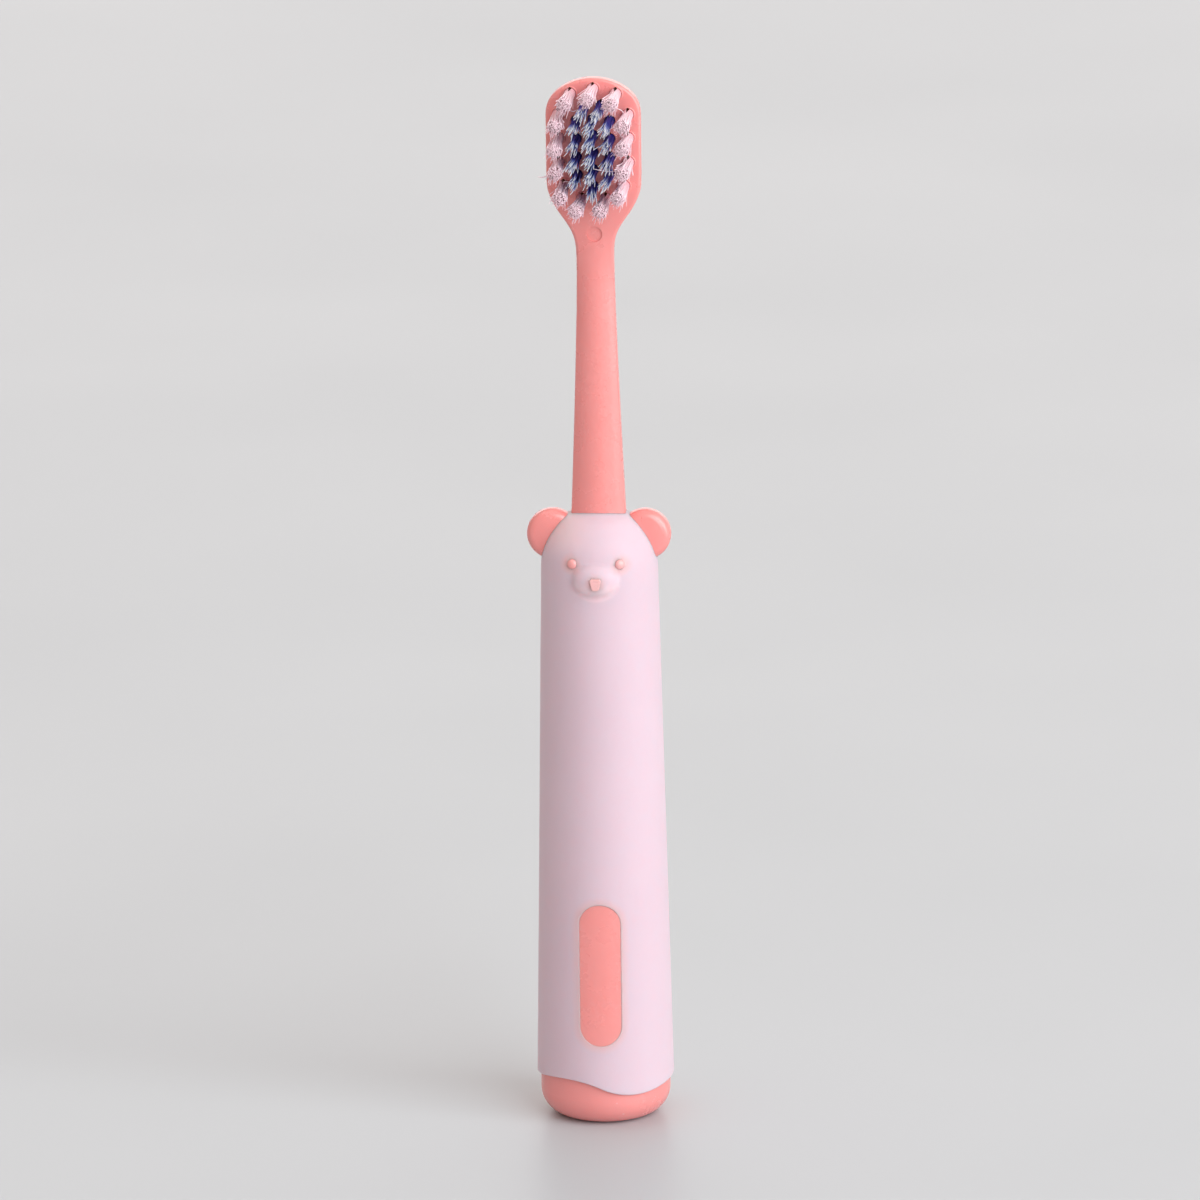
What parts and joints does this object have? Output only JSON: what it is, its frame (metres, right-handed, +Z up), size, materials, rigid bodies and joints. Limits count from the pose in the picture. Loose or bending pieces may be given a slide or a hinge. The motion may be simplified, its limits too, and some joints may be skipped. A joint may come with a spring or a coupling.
{
  "type": "manual toothbrush",
  "caption": "Children's manual toothbrush: bear-shaped round handle with a soft sleeve, two ears and a flat foot to stand on, slim neck and a small head full of bristle tufts.",
  "frame": {"origin": "centre of the flat face that the foot stands on", "axes": "+Z up along the handle from the foot to the head; the brush face, the bear's face and the window look along -Y; +X to the viewer's right"},
  "size_m": [0.0216, 0.0221, 0.1607],
  "materials": {
    "coral_plastic": "glossy injection-moulded polypropylene",
    "pale_pink_sleeve": "matt soft elastomer",
    "pink_bristle": "fine soft filament",
    "blue_bristle": "fine soft filament, blue at the root and white at the tip",
    "anchor_brass": "cut wire"
  },
  "bodies": {
    "root": {"brush_core": "coral_plastic", "grip_sleeve": "pale_pink_sleeve", "base_cap": "coral_plastic", "outer_tuft_01": "pink_bristle", "outer_tuft_02": "pink_bristle", "outer_tuft_03": "pink_bristle", "outer_tuft_04": "pink_bristle", "outer_tuft_05": "pink_bristle", "outer_tuft_06": "pink_bristle", "outer_tuft_07": "pink_bristle", "outer_tuft_08": "pink_bristle", "outer_tuft_09": "pink_bristle", "outer_tuft_10": "pink_bristle", "outer_tuft_11": "pink_bristle", "outer_tuft_12": "pink_bristle", "outer_tuft_13": "pink_bristle", "inner_tuft_01": "blue_bristle", "inner_tuft_02": "blue_bristle", "inner_tuft_03": "blue_bristle", "inner_tuft_04": "blue_bristle", "inner_tuft_05": "blue_bristle", "inner_tuft_06": "blue_bristle", "inner_tuft_07": "blue_bristle", "inner_tuft_08": "blue_bristle", "inner_tuft_09": "blue_bristle", "inner_tuft_10": "blue_bristle", "inner_tuft_11": "blue_bristle", "inner_tuft_12": "blue_bristle", "inner_tuft_13": "blue_bristle", "inner_tuft_14": "blue_bristle", "inner_tuft_15": "blue_bristle", "tuft_anchors": "anchor_brass"}
  },
  "joints": []
}
